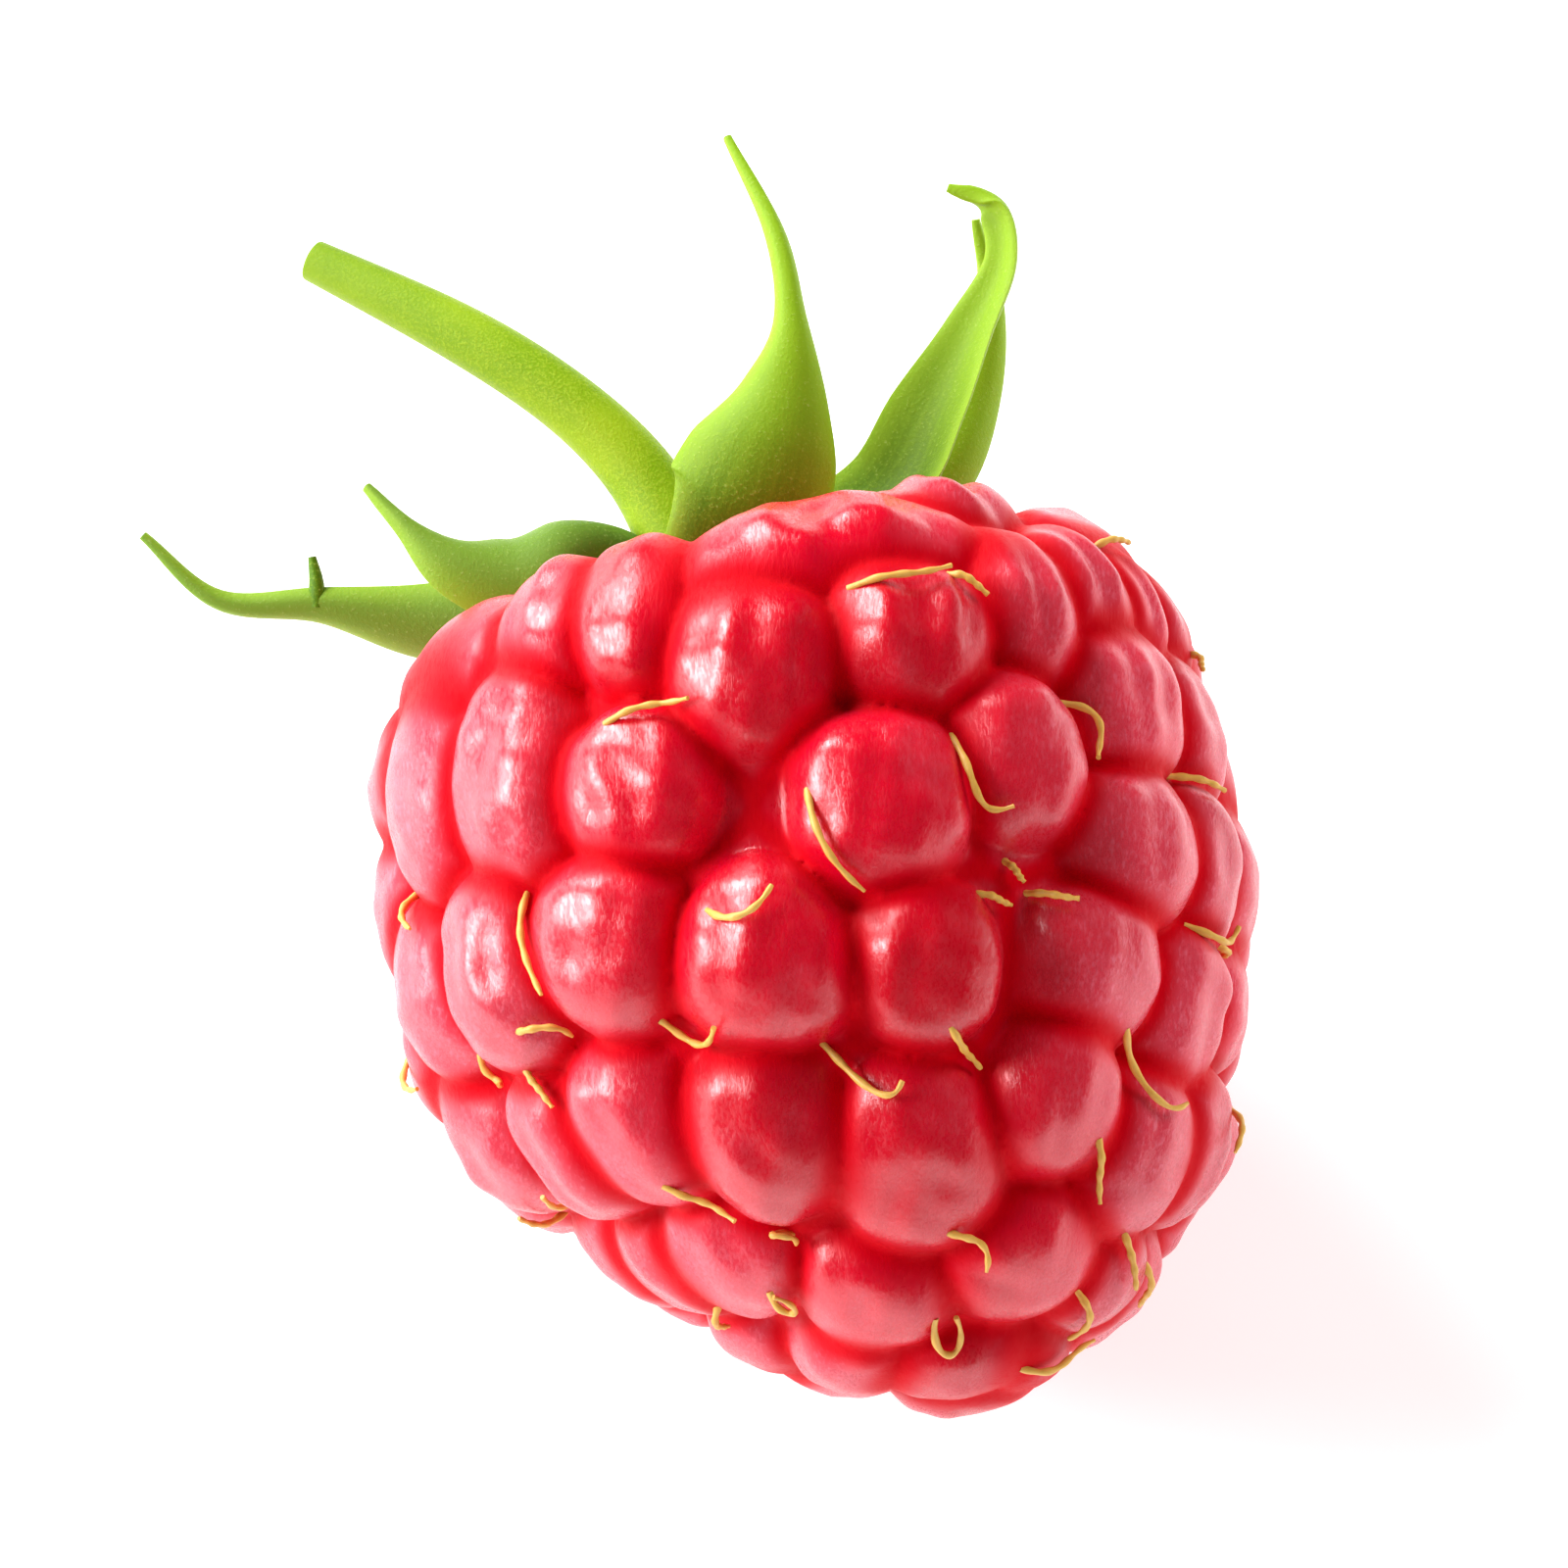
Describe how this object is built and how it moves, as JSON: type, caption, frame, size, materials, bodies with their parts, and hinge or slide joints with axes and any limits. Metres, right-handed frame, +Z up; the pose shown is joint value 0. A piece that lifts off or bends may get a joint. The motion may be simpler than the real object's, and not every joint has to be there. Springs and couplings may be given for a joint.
{
  "type": "raspberry",
  "caption": "Ripe red raspberry, picked with its green stem and calyx, lying on its side on a flat surface.",
  "frame": {"origin": "centre of the bounding box's underside, on the surface that the berry lies on", "axes": "+Z up; +Y horizontal, from the berry's tip towards its stem and sepals; +X to the right seen from the tip"},
  "size_m": [0.0265, 0.0282, 0.0202],
  "materials": {
    "flesh": "juicy red drupelets with a pale velvety bloom",
    "calyx": "soft green leaf",
    "stem": "satin green stalk",
    "styles": "dry golden hairs"
  },
  "bodies": {
    "root": {"fruit": "flesh", "calyx_cup": "calyx", "sepal_front": "calyx", "sepal_right": "calyx", "sepal_back_right": "calyx", "sepal_left": "calyx", "sepal_back_left": "calyx", "stem": "stem", "style_01": "styles", "style_02": "styles", "style_03": "styles", "style_04": "styles", "style_05": "styles", "style_06": "styles", "style_07": "styles", "style_08": "styles", "style_09": "styles", "style_10": "styles", "style_11": "styles", "style_12": "styles", "style_13": "styles", "style_14": "styles", "style_15": "styles", "style_16": "styles", "style_17": "styles", "style_18": "styles", "style_19": "styles", "style_20": "styles", "style_21": "styles", "style_22": "styles", "style_23": "styles", "style_24": "styles", "style_25": "styles", "style_26": "styles", "style_27": "styles", "style_28": "styles", "style_29": "styles", "style_30": "styles", "style_31": "styles", "style_32": "styles", "style_33": "styles", "style_34": "styles", "style_35": "styles", "style_36": "styles", "style_37": "styles", "style_38": "styles", "style_39": "styles", "style_40": "styles", "style_41": "styles", "style_42": "styles", "style_43": "styles", "style_44": "styles", "style_45": "styles", "style_46": "styles", "style_47": "styles", "style_48": "styles", "style_49": "styles"}
  },
  "joints": []
}
